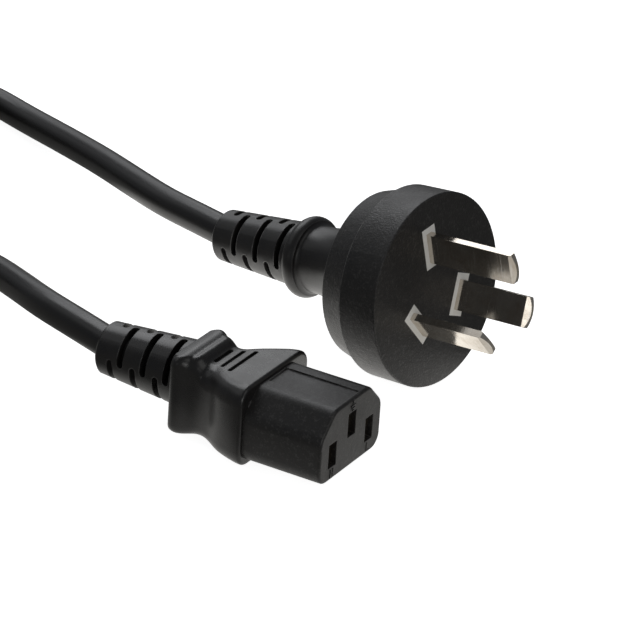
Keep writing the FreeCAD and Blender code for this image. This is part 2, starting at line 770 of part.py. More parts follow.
def tie_piece():
    body = make_body("TieBody")
    profile = sketch_on(body, "XZ_Plane", "TieProfile")
    width = "coil_rings * cord_radius"
    crown = "2 * coil_layers * cord_radius"
    for grow in ("tie_thickness", "fit_gap"):
        rounded(
            profile,
            f"coil_radius - {width} - {grow}",
            f"tie_thickness - {grow}",
            f"coil_radius + {width} + {grow}",
            f"tie_thickness + {crown} + {grow}",
            f"(coil_corner + {grow})",
        )
    band = body.newObject("PartDesign::Revolution", "TieBand")
    band.Profile = profile
    band.ReferenceAxis = (profile, ["V_Axis"])
    band.Midplane = True
    bind(band, Angle="tie_span")
    body.Placement = FreeCAD.Placement(FreeCAD.Vector(), FreeCAD.Rotation(Z_AXIS, number("tie_angle")))
    bind(body, Placement__Rotation__Angle="tie_angle")
    return body


# How the two ends lie: the plug on the edge of its step, the connector on the lower front edge of its grip
def lying(piece, x, y, z, turn, tilt, roll):
    spot = f"create(<<vector>>; {x}; {y}; {z})"
    bind(piece, Placement=f"create(<<placement>>; {spot}; create(<<rotation>>; {turn}; {tilt}; {roll}))")


def lay_plug(piece):
    front = "earth_length * cos(plug_tilt) - (earth_pin_radius - pattern_offset - blade_width / 2) * sin(plug_tilt)"
    back = "tail_depth * cos(plug_tilt) + tail_end_radius * sin(plug_tilt)"
    lift = "step_radius * cos(plug_tilt) + step_depth * sin(plug_tilt)"
    lying(piece, f"({back} - ({front})) / 2", "0", lift, "0", "-plug_tilt", "plug_roll")


def lay_connector(piece):
    low_side = "(flange_half_width - flange_corner) * abs(sin(connector_roll))"
    low_edge = f"(flange_corner - (flange_base + flange_corner) * cos(connector_roll) + {low_side})"
    lift = f"{low_edge} * cos(connector_tilt) - flange_depth * sin(connector_tilt)"
    lying(piece, "connector_x", "connector_y", lift, "connector_turn", "connector_tilt", "connector_roll")


def lay_coil(piece):
    lying(piece, "coil_x", "coil_y", "0", "0", "0", "0")


def named(name, piece, lay):
    node = doc.addObject("Part::Compound", "Node_" + name)
    node.Links = [piece]
    node.Label = name
    lay(node)
    return node


# Cord: straight runs joined by arcs that touch them, from a tail's mouth to the coil
PLUG_ROUTE = [
    (-60.5, 6.3, 13.1),
    (-74.0, 11.8, 11.4),
    (-90.5, 19.1, 9.0),
    (-108.5, 26.3, 6.2),
    (-125.5, 32.2, 4.0),
]
CONNECTOR_ROUTE = [
    (-50.5, -42.8, 10.8),
    (-62.5, -37.2, 8.6),
    (-75.5, -31.2, 6.0),
    (-88.0, -27.9, 4.2),
    (-100.5, -28.4, 4.4),
    (-113.5, -32.4, 7.0),
]


def mouth(lay, end_depth, bend_name, level):
    # The middle of the sheath's outer end and the way the cord leaves it
    place = doc.addObject("Part::Vertex", "Mouth")
    lay(place)
    doc.recompute()
    bend = math.radians(SIZES[bend_name])
    back = -number(bend_start(end_depth, bend_name)) - SIZES["bend_radius"] * math.sin(bend)
    aside = SIZES["bend_radius"] * (1 - math.cos(bend))
    start = place.Placement.multVec(FreeCAD.Vector(back, aside, level))
    way = place.Placement.Rotation.multVec(FreeCAD.Vector(-math.cos(bend), math.sin(bend), 0))
    doc.removeObject(place.Name)
    return [start, start + way * SIZES["exit_run"]]


def coil_end(angle, height, way):
    turn = FreeCAD.Rotation(Z_AXIS, SIZES[angle])
    ring = SIZES["coil_radius"] + (SIZES["coil_rings"] - 1) * SIZES["cord_radius"]
    middle = FreeCAD.Vector(SIZES["coil_x"], SIZES["coil_y"], SIZES["tie_thickness"] + height * SIZES["cord_radius"])
    ahead = turn.multVec(FreeCAD.Vector(0, way, 0))
    end = middle + turn.multVec(FreeCAD.Vector(ring, 0, 0)) + ahead * SIZES["lead_straight"]
    return [end + ahead * SIZES["entry_run"], end]


def tube(name, points):
    edges = []
    here = points[0]
    for before, corner, after in zip(points, points[1:], points[2:]):
        back = before - corner
        ahead = after - corner
        shorter = min(back.Length, ahead.Length)
        turn = math.pi - back.getAngle(ahead)
        radius = 0.45 * shorter / math.tan(turn / 2)
        print(f"{name}: turn {math.degrees(turn):.1f} degrees, radius {radius:.1f} mm")
        back.normalize()
        ahead.normalize()
        start = corner + back * 0.45 * shorter
        stop = corner + ahead * 0.45 * shorter
        inward = (back + ahead).normalize()
        middle = corner + inward * (radius / math.cos(turn / 2) - radius)
        edges += [Part.LineSegment(here, start).toShape(), Part.Arc(start, middle, stop).toShape()]
        here = stop
    edges.append(Part.LineSegment(here, points[-1]).toShape())
    path = Part.Wire(edges)
    ring = Part.Wire(Part.makeCircle(SIZES["cord_radius"], points[0], points[1] - points[0]))
    solid = path.makePipeShell([ring], True, False)
    section = math.pi * SIZES["cord_radius"] ** 2
    print(f"{name}: length {path.Length:.1f} mm, volume {solid.Volume / (section * path.Length):.4f} of section by length")
    piece = doc.addObject("Part::Feature", "Node_" + name)
    piece.Shape = solid
    piece.Label = name
    return piece


print("sizes read:", len(SIZES))
nodes = [named(name, piece, lay_plug) for name, piece in plug_pieces().items()]
nodes += [named(name, piece, lay_connector) for name, piece in connector_pieces().items()]
nodes += [named("cord_coil", coil_piece(), lay_coil), named("coil_tie", tie_piece(), lay_coil)]
plug_way = mouth(lay_plug, "tail_depth", "plug_bend", 0) + [FreeCAD.Vector(*spot) for spot in PLUG_ROUTE]
plug_way += coil_end("coil_entry_angle", 1, -1)
nodes.append(tube("cord_plug_side", plug_way))
connector_way = mouth(lay_connector, "connector_tail_depth", "connector_bend", SIZES["connector_tail_level"])
connector_way += [FreeCAD.Vector(*spot) for spot in CONNECTOR_ROUTE]
connector_way += coil_end("coil_exit_angle", 2 * SIZES["coil_layers"] - 1, 1)
nodes.append(tube("cord_connector_side", connector_way))
doc.recompute()
for way in (plug_way, connector_way):
    print("route", [tuple(round(value, 2) for value in spot) for spot in way])

for thing in doc.Objects:
    if "Invalid" in thing.State or "Error" in thing.State:
        raise RuntimeError(f"{thing.Name} didn't rebuild: {thing.State}")
for node in nodes:
    if node.Shape.isNull() or not node.Shape.isValid() or not node.Shape.Solids:
        raise RuntimeError(f"{node.Label} isn't a sound solid")

os.makedirs("parts", exist_ok=True)
for node in nodes:
    node.Shape.exportStep(f"parts/{node.Label}.step")
    box_of = node.Shape.BoundBox
    print(f"{node.Label}: {len(node.Shape.Solids)} solid, {node.Shape.Volume:.1f} mm3, z from {box_of.ZMin:.2f}")
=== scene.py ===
import json
import math

import bpy
from mathutils import Matrix, Vector


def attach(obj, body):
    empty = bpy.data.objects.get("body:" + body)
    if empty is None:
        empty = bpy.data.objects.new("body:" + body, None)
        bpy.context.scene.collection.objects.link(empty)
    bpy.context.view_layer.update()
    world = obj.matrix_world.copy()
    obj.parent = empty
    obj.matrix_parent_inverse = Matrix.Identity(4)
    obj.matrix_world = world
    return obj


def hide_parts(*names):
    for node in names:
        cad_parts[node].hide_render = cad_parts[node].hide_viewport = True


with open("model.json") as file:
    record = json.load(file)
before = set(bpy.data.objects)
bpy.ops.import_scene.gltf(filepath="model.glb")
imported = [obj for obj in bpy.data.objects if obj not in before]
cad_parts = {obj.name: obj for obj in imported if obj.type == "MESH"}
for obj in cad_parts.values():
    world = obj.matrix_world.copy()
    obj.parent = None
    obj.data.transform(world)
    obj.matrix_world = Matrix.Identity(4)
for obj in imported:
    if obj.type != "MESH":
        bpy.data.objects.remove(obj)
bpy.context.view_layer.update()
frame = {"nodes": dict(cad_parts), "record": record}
nodes = frame["nodes"]
mounts = {mount["name"]: mount for mount in frame["record"]["mounts"]}
mm = 0.001
print("frame loaded:", len(nodes), "nodes")

# Small helpers


def addThing(name, data):
    thing = bpy.data.objects.new(name, data)
    bpy.context.scene.collection.objects.link(thing)
    return thing


def eased(share):
    # 0 below 0, 1 above 1, and a soft step between
    share = min(1.0, max(0.0, share))
    return share * share * (3 - 2 * share)


def feed(tree, socket, value):
    # a socket takes another node's output, or a plain number, vector or colour
    if isinstance(value, bpy.types.NodeSocket):
        tree.links.new(value, socket)
    elif socket.type == "RGBA":
        socket.default_value = (*value, 1)
    else:
        socket.default_value = value


def mathNode(tree, operation, first, second, clamp=False):
    node = tree.nodes.new("ShaderNodeMath")
    node.operation = operation
    node.use_clamp = clamp
    feed(tree, node.inputs[0], first)
    feed(tree, node.inputs[1], second)
    return node.outputs["Value"]


def vectorNode(tree, operation, first, second=(0, 0, 0)):
    node = tree.nodes.new("ShaderNodeVectorMath")
    node.operation = operation
    feed(tree, node.inputs[0], first)
    feed(tree, node.inputs[1], second)
    return node.outputs["Value" if operation in ("DOT_PRODUCT", "LENGTH") else "Vector"]


def rangeNode(tree, value, start, stop, low=0.0, high=1.0, smooth=False):
    # low where the value is at start or before, high where it is at stop or past
    node = tree.nodes.new("ShaderNodeMapRange")
    if smooth:
        node.interpolation_type = "SMOOTHSTEP"
    fed = {"Value": value, "From Min": start, "From Max": stop, "To Min": low, "To Max": high}
    for label, number in fed.items():
        feed(tree, node.inputs[label], number)
    return node.outputs["Result"]


def noiseNode(tree, vector, scale, detail, roughness):
    node = tree.nodes.new("ShaderNodeTexNoise")
    fed = {"Vector": vector, "Scale": scale, "Detail": detail, "Roughness": roughness}
    for label, number in fed.items():
        feed(tree, node.inputs[label], number)
    return node.outputs["Fac"]


def roundedNormal(tree, radius, samples=4):
    node = tree.nodes.new("ShaderNodeBevel")
    node.samples = samples
    feed(tree, node.inputs["Radius"], radius)
    return node.outputs["Normal"]


# Camera and studio

camera = {
    "place": (0.452982, -0.583833, 0.388628),
    "forward": (-0.55401, 0.69506, -0.45821),
    "roll": 1.606,          # degrees, from level
    "lens": 227.72,         # mm on a 36 mm sensor
    "sensor": 36.0,
    "clip": (0.05, 20.0),   # metres, nearest and farthest that it sees
}


def placeCamera(settings):
    forward = Vector(settings["forward"]).normalized()
    level = forward.cross(Vector((0, 0, 1))).normalized()
    right = Matrix.Rotation(math.radians(-settings["roll"]), 3, forward) @ level
    upward = right.cross(forward)
    data = bpy.data.cameras.new("camera")
    data.lens = settings["lens"]
    data.sensor_width = settings["sensor"]
    data.clip_start, data.clip_end = settings["clip"]
    thing = addThing("camera", data)
    turn = Matrix((right, upward, -forward)).transposed().to_4x4()
    thing.matrix_world = Matrix.Translation(settings["place"]) @ turn
    bpy.context.scene.camera = thing


studio = {
    "floorHalf": 3.0,
    "floorDrop": 0.02 * mm,           # keeps the paper from touching what lies on it
    "paper": (0.90, 0.90, 0.90),
    "paperRoughness": 0.9,
    "paperGlow": 0.90,                # a lightbox table, which keeps the shadows pale
    # painted bounce light: to all but camera rays the table glows, in ellipses of light over a dim rest
    "paintedBouncePools": [
        {"centre": (0.002, -0.024, 0), "reach": (0.056, 0.044, 1), "glow": 0.50},
        {"centre": (-0.034, 0.001, 0), "reach": (0.062, 0.031, 1), "glow": 0.76},
    ],
    "poolEdge": (0.80, 1.12),         # shares of the reach between which a pool fades out
    "poolColour": (1.0, 0.985, 0.95),
    "dimGlow": 0.16,
    "worldColour": (0.92, 0.95, 1.0),
    "worldStrength": 0.15,
    "lampReach": 0.85,
    "lampAim": (0.0, 0.0, 0.02),
    "lamps": {
        # name: bearing and lift in degrees, width, height, brightness, colour
        "key": (-30, 18, 0.36, 0.32, 2.65, (1.0, 0.99, 0.97)),
        "right": (0, 48, 0.50, 0.50, 0.70, (1.0, 0.99, 0.97)),
        "overhead": (150, 48, 0.50, 0.50, 2.60, (0.97, 0.98, 1.0)),
        "behind": (140, 18, 0.36, 0.32, 0.75, (0.98, 0.99, 1.0)),
        "rim": (127, 27, 0.28, 0.24, 0.95, (0.98, 0.99, 1.0)),
        "rear": (178, 26, 0.30, 0.30, 0.30, (0.98, 0.99, 1.0)),
        "left": (-150, 46, 0.44, 0.44, 0.42, (1.0, 1.0, 1.0)),
        "tips": (-93, 19, 0.11, 0.11, 1.90, (1.0, 0.99, 0.97)),
    },
}


def softbox(name, bearing, lift, width, height, brightness, colour):
    turn, rise = math.radians(bearing), math.radians(lift)
    away = Vector((math.cos(rise) * math.cos(turn), math.cos(rise) * math.sin(turn), math.sin(rise)))
    data = bpy.data.lights.new(name, "AREA")
    data.shape = "RECTANGLE"
    data.size = width
    data.size_y = height
    data.energy = brightness * math.pi * width * height   # the same brightness at any size
    data.color = colour
    thing = addThing(name, data)
    thing.location = Vector(studio["lampAim"]) + away * studio["lampReach"]
    thing.rotation_euler = (-away).to_track_quat("-Z", "Y").to_euler()


def floorPaper(settings):
    # seen straight it is white paper; to all other rays it glows in the pools, painted bounce light on the
    # object
    material = bpy.data.materials.new("paleFloor")
    material.use_nodes = True
    tree = material.node_tree
    place = tree.nodes.new("ShaderNodeTexCoord").outputs["Object"]
    glow = settings["dimGlow"]
    for pool in settings["paintedBouncePools"]:
        inPool = tree.nodes.new("ShaderNodeMapping")
        inPool.vector_type = "TEXTURE"
        for label, value in (("Vector", place), ("Location", pool["centre"]), ("Scale", pool["reach"])):
            feed(tree, inPool.inputs[label], value)
        away = vectorNode(tree, "LENGTH", inPool.outputs["Vector"])
        lit = rangeNode(tree, away, *settings["poolEdge"], pool["glow"], 0.0, smooth=True)
        glow = mathNode(tree, "ADD", lit, glow)
    # painted bounce light: a glow that only rays other than the camera's see
    paintedBounce = tree.nodes.new("ShaderNodeEmission")
    feed(tree, paintedBounce.inputs["Color"], settings["poolColour"])
    feed(tree, paintedBounce.inputs["Strength"], glow)
    seen = tree.nodes["Principled BSDF"]
    seen.inputs["Base Color"].default_value = (*settings["paper"], 1)
    seen.inputs["Roughness"].default_value = settings["paperRoughness"]
    seen.inputs["Specular IOR Level"].default_value = 0.0
    seen.inputs["Emission Color"].default_value = (1, 1, 1, 1)
    seen.inputs["Emission Strength"].default_value = settings["paperGlow"]
    choice = tree.nodes.new("ShaderNodeMixShader")
    tree.links.new(tree.nodes.new("ShaderNodeLightPath").outputs["Is Camera Ray"], choice.inputs["Fac"])
    tree.links.new(paintedBounce.outputs["Emission"], choice.inputs[1])
    tree.links.new(seen.outputs["BSDF"], choice.inputs[2])
    tree.links.new(choice.outputs["Shader"], tree.nodes["Material Output"].inputs["Surface"])
    return material


def layFloor(settings):
    half = settings["floorHalf"]
    corners = [(-half, -half, 0), (half, -half, 0), (half, half, 0), (-half, half, 0)]
    mesh = bpy.data.meshes.new("floor")
    mesh.from_pydata(corners, [], [(0, 1, 2, 3)])
    floor = addThing("floor", mesh)
    floor.location.z = -settings["floorDrop"]
    mesh.materials.append(floorPaper(settings))


def lightWorld(settings):
    world = bpy.data.worlds.new("studio")
    world.use_nodes = True
    background = world.node_tree.nodes["Background"]
    background.inputs["Color"].default_value = (*settings["worldColour"], 1)
    background.inputs["Strength"].default_value = settings["worldStrength"]
    bpy.context.scene.world = world
    bpy.context.scene.view_settings.view_transform = "Standard"
    bpy.context.scene.view_settings.look = "None"


placeCamera(camera)
layFloor(studio)
lightWorld(studio)
for lampName, lamp in studio["lamps"].items():
    softbox(lampName, *lamp)
print("camera, floor and lamps in place")

# Shared shader effects


def newGroup(name, inputs, outputs):
    # inputs: name and starting value, a number or a vector, or None for a vector that is always linked
    group = bpy.data.node_groups.new(name, "ShaderNodeTree")
    for label, value in inputs.items():
        kind = "NodeSocketFloat" if isinstance(value, float) else "NodeSocketVector"
        socket = group.interface.new_socket(name=label, in_out="INPUT", socket_type=kind)
        if value is not None:
            socket.default_value = value
    for label in outputs:
        group.interface.new_socket(name=label, in_out="OUTPUT", socket_type="NodeSocketFloat")
    start = group.nodes.new("NodeGroupInput")
    end = group.nodes.new("NodeGroupOutput")
    return group, start.outputs, end.inputs


grainLook = {
    "fine": (2.0, 0.6),               # a noise's detail and roughness, as all such pairs here
    "fineShare": 0.6,
    "coarse": (2.0, 0.5),
    "coarseShare": 0.4,
    "coarseScale": 0.35,              # of the fine grains' scale
    "patches": (4.0, 0.65),
    "glintsFrom": (0.53, 0.63),       # heights between which a grain gets a painted glint
}


def buildGrain(look):
    # spark eroded mould skin: an even pitting, its highest grains (where painted glints go), and slow patches
    group, given, out = newGroup(
        "mouldGrain",
        {"Vector": None, "Grains per metre": 3000.0, "Patches per metre": 120.0},
        ["Height", "Patches", "PaintedGlints"],
    )
    vector, grains = given["Vector"], given["Grains per metre"]
    fine = noiseNode(group, vector, grains, *look["fine"])
    larger = mathNode(group, "MULTIPLY", grains, look["coarseScale"])
    coarse = noiseNode(group, vector, larger, *look["coarse"])
    height = mathNode(group, "ADD", mathNode(group, "MULTIPLY", fine, look["fineShare"]),
                      mathNode(group, "MULTIPLY", coarse, look["coarseShare"]))
    patches = noiseNode(group, vector, given["Patches per metre"], *look["patches"])
    group.links.new(height, out["Height"])
    group.links.new(patches, out["Patches"])
    group.links.new(rangeNode(group, height, *look["glintsFrom"]), out["PaintedGlints"])
    return group


def buildReach():
    # how far a point lies along a direction from an origin, as a soft step from 0 to 1
    group, given, out = newGroup(
        "reachAlong",
        {"Vector": None, "Origin": (0, 0, 0), "Direction": (1, 0, 0), "From": 0.0, "To": 1.0},
        ["Mask"],
    )
    offset = vectorNode(group, "SUBTRACT", given["Vector"], given["Origin"])
    along = vectorNode(group, "DOT_PRODUCT", offset, given["Direction"])
    group.links.new(rangeNode(group, along, given["From"], given["To"], smooth=True), out["Mask"])
    return group


scuffLook = {
    "lines": (3.0, 0.55),
    "peaksFrom": (0.56, 0.72),
}


def buildScuffs(look):
    # hair scratches: a turned and stretched noise, kept only where it peaks
    group, given, out = newGroup(
        "hairScuffs",
        {"Vector": None, "Stretch": (400, 6000, 6000), "Turn": (0, 0, 0), "Amount": 0.3},
        ["Mask", "Height"],
    )
    turned = group.nodes.new("ShaderNodeVectorRotate")
    turned.rotation_type = "EULER_XYZ"
    group.links.new(given["Vector"], turned.inputs["Vector"])
    group.links.new(given["Turn"], turned.inputs["Rotation"])
    stretched = vectorNode(group, "MULTIPLY", turned.outputs["Vector"], given["Stretch"])
    lines = noiseNode(group, stretched, 1.0, *look["lines"])
    peaks = rangeNode(group, lines, *look["peaksFrom"])
    group.links.new(mathNode(group, "MULTIPLY", peaks, given["Amount"], clamp=True), out["Mask"])
    group.links.new(lines, out["Height"])
    return group


# look of the painted highlight on the corners
edgeHighlightLook = {
    "samples": 6,
    "cornerFrom": (0.97, 0.86),       # cosine between the two normals
    "breaks": (3.0, 0.6),
    "breaksFrom": (0.38, 0.62),
}


def buildEdgeHighlight(look):
    # painted edge highlight mask: where a rounded normal leaves the surface's own, broken up by a noise
    group, given, out = newGroup(
        "edgeHighlightMask",
        {"Vector": None, "Width": 0.4 * mm, "Breaks per metre": 260.0, "Amount": 0.5},
        ["Mask"],
    )
    rounded = roundedNormal(group, given["Width"], look["samples"])
    facing = group.nodes.new("ShaderNodeNewGeometry").outputs["Normal"]
    corner = rangeNode(group, vectorNode(group, "DOT_PRODUCT", rounded, facing), *look["cornerFrom"])
    noise = noiseNode(group, given["Vector"], given["Breaks per metre"], *look["breaks"])
    paintedEdgeHighlight = mathNode(group, "MULTIPLY", corner, rangeNode(group, noise, *look["breaksFrom"]))
    group.links.new(mathNode(group, "MULTIPLY", paintedEdgeHighlight, given["Amount"], clamp=True), out["Mask"])
    return group


grainGroup = buildGrain(grainLook)
reachGroup = buildReach()
scuffGroup = buildScuffs(scuffLook)
edgeHighlightGroup = buildEdgeHighlight(edgeHighlightLook)
print("shader groups built")

# Materials


def startMaterial(name, colour, metallic=0.0):
    material = bpy.data.materials.new(name)
    material.use_nodes = True
    material.diffuse_color = (*colour, 1)
    tree = material.node_tree
    shader = tree.nodes["Principled BSDF"]
    shader.inputs["Base Color"].default_value = (*colour, 1)
    shader.inputs["Metallic"].default_value = metallic
    place = tree.nodes.new("ShaderNodeTexCoord").outputs["Object"]
    return material, tree, shader.inputs, place


def useGroup(tree, group, place, **values):
    node = tree.nodes.new("ShaderNodeGroup")
    node.node_tree = group
    tree.links.new(place, node.inputs["Vector"])
    for label, value in values.items():
        feed(tree, node.inputs[label.replace("_", " ")], value)
    return node.outputs


def overPatches(tree, grain, low, high, start=0.3, stop=0.7):
    # from low to high with the grain's slow patches
    return rangeNode(tree, grain["Patches"], start, stop, low, high)


def mixColour(tree, mask, first, second):
    node = tree.nodes.new("ShaderNodeMix")
    node.data_type = "RGBA"
    tree.links.new(mask, node.inputs["Factor"])
    colours = [socket for socket in node.inputs if socket.type == "RGBA"]
    for socket, value in zip(colours, (first, second)):
        feed(tree, socket, value)
    return next(socket for socket in node.outputs if socket.type == "RGBA")


def addBump(tree, shader, height, depth, strength=1.0, edge=0.0):
    # edge is the radius to which sharp corners are shaded round
    bump = tree.nodes.new("ShaderNodeBump")
    for label, value in (("Distance", depth), ("Strength", strength), ("Height", height)):
        feed(tree, bump.inputs[label], value)
    if edge:
        tree.links.new(roundedNormal(tree, edge), bump.inputs["Normal"])
    tree.links.new(bump.outputs["Normal"], shader["Normal"])


blackPlastic = {
    "colour": (0.0080, 0.0076, 0.0076),
    "dusty": (0.0150, 0.0138, 0.0130),
    "dustyFrom": (0.35, 0.8),         # of the patches
    # painted glint: a lighter grey put on the highest grains
    "paintedGlint": (0.050, 0.049, 0.047),
    # painted edge highlight: a light grey put on the corners
    "paintedEdgeHighlight": (0.26, 0.255, 0.25),
    "edge": 0.22 * mm,
}


def skinGrain(tree, place, finish):
    return useGroup(tree, grainGroup, place, Grains_per_metre=finish["grains"],
                    Patches_per_metre=finish["patches"])


def dustAndPaintedLightBlack(tree, place, grain, paintedGlintAmount, edgeHighlightPaint):
    # the mould skin's greys: dust in slow patches, a painted glint on the highest grains, and a painted
    # highlight on the corners
    paintedEdgeHighlight = useGroup(tree, edgeHighlightGroup, place, Amount=edgeHighlightPaint)
    dust = overPatches(tree, grain, 0.0, 1.0, *blackPlastic["dustyFrom"])
    dusted = mixColour(tree, dust, blackPlastic["colour"], blackPlastic["dusty"])
    withPaintedGlints = mixColour(tree, mathNode(tree, "MULTIPLY", grain["PaintedGlints"], paintedGlintAmount), dusted,
                        blackPlastic["paintedGlint"])
    return mixColour(tree, paintedEdgeHighlight["Mask"], withPaintedGlints, blackPlastic["paintedEdgeHighlight"])


def scuffed(tree, place, finish, rough):
    scuffs = useGroup(tree, scuffGroup, place, **finish["scuffs"])
    return mathNode(tree, "ADD", rough, mathNode(tree, "MULTIPLY", scuffs["Mask"], finish["scuffRough"]))


plugSkin = {
    "grains": 2600.0,                 # per metre, as all grains and patches here
    "patches": 150.0,
    "grainDepth": 0.15 * mm,
    "neckFrom": (15.0 * mm, 17.0 * mm),   # behind the plug's face, where the finer skin begins
    "discRough": (0.38, 0.50),
    "neckRough": (0.30, 0.38),
    "paintedGlintAmount": (0.6, 0.1),            # painted glints on the highest grains, on the disc and on the neck
    "pitting": (1.0, 0.12),
    "scuffs": {"Turn": (0.3, 0.9, 0.4), "Amount": 0.35},
    "scuffRough": 0.15,
    # how much painted highlight goes on the corners
    "edgeHighlightPaint": 0.85,
}


def plugMoulding(finish):
    material, tree, shader, place = startMaterial("plugMoulding", blackPlastic["colour"])
    face = mounts["plug_blades"]
    backward = [-value for value in face["axis"]]
    start, stop = finish["neckFrom"]
    grain = skinGrain(tree, place, finish)
    neck = useGroup(tree, reachGroup, place, Origin=face["pos_m"], Direction=backward, From=start, To=stop)

    def discToNeck(onDisc, onNeck):
        return rangeNode(tree, neck["Mask"], 0.0, 1.0, onDisc, onNeck)

    rough = discToNeck(overPatches(tree, grain, *finish["discRough"]),
                       overPatches(tree, grain, *finish["neckRough"]))
    black = dustAndPaintedLightBlack(tree, place, grain, discToNeck(*finish["paintedGlintAmount"]), finish["edgeHighlightPaint"])
    tree.links.new(scuffed(tree, place, finish, rough), shader["Roughness"])
    tree.links.new(black, shader["Base Color"])
    addBump(tree, shader, grain["Height"], finish["grainDepth"], discToNeck(*finish["pitting"]),
            blackPlastic["edge"])
    return material


connectorSkins = {
    # each: roughness, grain depth, how much painted glint on the highest grains, how much painted highlight
    # on the corners
    "gripMoulding": {
        "rough": (0.23, 0.33), "grainDepth": 0.006 * mm, "paintedGlintAmount": 0.10, "edgeHighlightPaint": 0.35,
    },
    "noseMoulding": {
        "rough": (0.38, 0.50), "grainDepth": 0.045 * mm, "paintedGlintAmount": 0.60, "edgeHighlightPaint": 0.30,
    },
}
connectorGrain = {
    "grains": 2600.0,
    "patches": 110.0,
    "scuffs": {"Turn": (0.2, 0.1, 1.2), "Amount": 0.4},
    "scuffRough": 0.2,
}


def connectorMoulding(name):
    finish = connectorSkins[name]
    material, tree, shader, place = startMaterial(name, blackPlastic["colour"])
    grain = skinGrain(tree, place, connectorGrain)
    rough = overPatches(tree, grain, *finish["rough"])
    black = dustAndPaintedLightBlack(tree, place, grain, finish["paintedGlintAmount"], finish["edgeHighlightPaint"])
    tree.links.new(scuffed(tree, place, connectorGrain, rough), shader["Roughness"])
    tree.links.new(black, shader["Base Color"])
    addBump(tree, shader, grain["Height"], finish["grainDepth"], edge=blackPlastic["edge"])
    return material


cordSkin = {
    "grains": 2200.0,
    "patches": 90.0,
    "grainDepth": 0.010 * mm,
    "rough": (0.27, 0.37),
}


def cordSheath(finish):
    material, tree, shader, place = startMaterial("cordSheath", blackPlastic["colour"])
    grain = skinGrain(tree, place, finish)
    tree.links.new(overPatches(tree, grain, *finish["rough"]), shader["Roughness"])
    addBump(tree, shader, grain["Height"], finish["grainDepth"])
    return material


nickel = {
    "grains": 2500.0,
    "patches": 260.0,
    "rough": (0.09, 0.14),
    "brushStretch": (3800, 160, 160),
    "brushRough": 0.10,
    "brushDepth": 0.0016 * mm,
    "bright": (0.68, 0.63, 0.56),
    "dull": (0.52, 0.45, 0.37),
    "dullFrom": (0.45, 0.75),         # of the patches
    "brushed": (0.80, 0.76, 0.70),
    "edge": 0.12 * mm,
}


def nickelPlate(finish):
    # brushed across the blades, which tip up with the plug
    material, tree, shader, place = startMaterial("nickelPlate", finish["bright"], 1.0)
    tilt = math.asin(mounts["plug_blades"]["axis"][2])
    grain = skinGrain(tree, place, finish)
    brushed = useGroup(tree, scuffGroup, place, Stretch=finish["brushStretch"], Turn=(0, tilt, 0), Amount=1.0)
    rough = mathNode(tree, "ADD", overPatches(tree, grain, *finish["rough"]),
                     mathNode(tree, "MULTIPLY", brushed["Mask"], finish["brushRough"]))
    dull = overPatches(tree, grain, 0.0, 1.0, *finish["dullFrom"])
    plating = mixColour(tree, dull, finish["bright"], finish["dull"])
    tree.links.new(rough, shader["Roughness"])
    tree.links.new(mixColour(tree, brushed["Mask"], plating, finish["brushed"]), shader["Base Color"])
    addBump(tree, shader, brushed["Height"], finish["brushDepth"], edge=finish["edge"])
    return material


smallParts = {
    "grains": 3000.0,
    "patches": 300.0,
    "grainDepth": 0.006 * mm,
    "shadeFrom": (0.35, 0.75),        # of the patches
    "roughSpread": 0.15,              # share of the roughness, either way
    # finish: material, colour, shade that it drifts to, roughness, metallic
    "finishes": {
        # the marks' colour is darker than the moulding's: painted shade for dark strokes; their lower
        # roughness is the polish
        "mark": ("polishedMarkPaintedShade", (0.002, 0.002, 0.002), (0.003, 0.003, 0.003), 0.2, 0.0),
        "carrier": ("carrierNylon", (0.88, 0.87, 0.84), (0.80, 0.78, 0.73), 0.5, 0.0),
        "contact": ("contactBrass", (0.75, 0.60, 0.35), (0.62, 0.48, 0.26), 0.3, 1.0),
        "liveCore": ("liveCoreInsulation", (0.10, 0.035, 0.015), (0.08, 0.03, 0.012), 0.4, 0.0),
        "neutralCore": ("neutralCoreInsulation", (0.02, 0.10, 0.42), (0.018, 0.085, 0.36), 0.4, 0.0),
        "copper": ("bareCopper", (0.85, 0.45, 0.28), (0.70, 0.34, 0.20), 0.28, 1.0),
        "tie": ("tieBand", (0.012, 0.012, 0.012), (0.02, 0.02, 0.02), 0.55, 0.0),
    },
}


def smallPart(name, colour, shade, roughness, metallic):
    material, tree, shader, place = startMaterial(name, colour, metallic)
    grain = skinGrain(tree, place, smallParts)
    drift = roughness * smallParts["roughSpread"]
    rough = overPatches(tree, grain, roughness - drift, roughness + drift)
    shaded = overPatches(tree, grain, 0.0, 1.0, *smallParts["shadeFrom"])
    tree.links.new(rough, shader["Roughness"])
    tree.links.new(mixColour(tree, shaded, colour, shade), shader["Base Color"])
    addBump(tree, shader, grain["Height"], smallParts["grainDepth"])
    return material


earthStripes = {
    "green": (0.04, 0.28, 0.06),
    "yellow": (0.80, 0.62, 0.05),
    "bands": 130.0,                   # scale of the bands, per metre
    "border": (0.48, 0.52),
    "rough": 0.4,
}


def stripedCore(finish):
    # green and yellow insulation in slanting bands
    material, tree, shader, place = startMaterial("earthCoreInsulation", finish["green"])
    shader["Roughness"].default_value = finish["rough"]
    wave = tree.nodes.new("ShaderNodeTexWave")
    wave.bands_direction = "DIAGONAL"
    wave.inputs["Scale"].default_value = finish["bands"]
    tree.links.new(place, wave.inputs["Vector"])
    stripe = rangeNode(tree, wave.outputs["Fac"], *finish["border"])
    tree.links.new(mixColour(tree, stripe, finish["green"], finish["yellow"]), shader["Base Color"])
    return material


materials = {
    "plug": plugMoulding(plugSkin),
    "grip": connectorMoulding("gripMoulding"),
    "nose": connectorMoulding("noseMoulding"),
    "cord": cordSheath(cordSkin),
    "nickel": nickelPlate(nickel),
    "earthCore": stripedCore(earthStripes),
}
for finishName, finish in smallParts["finishes"].items():
    materials[finishName] = smallPart(*finish)

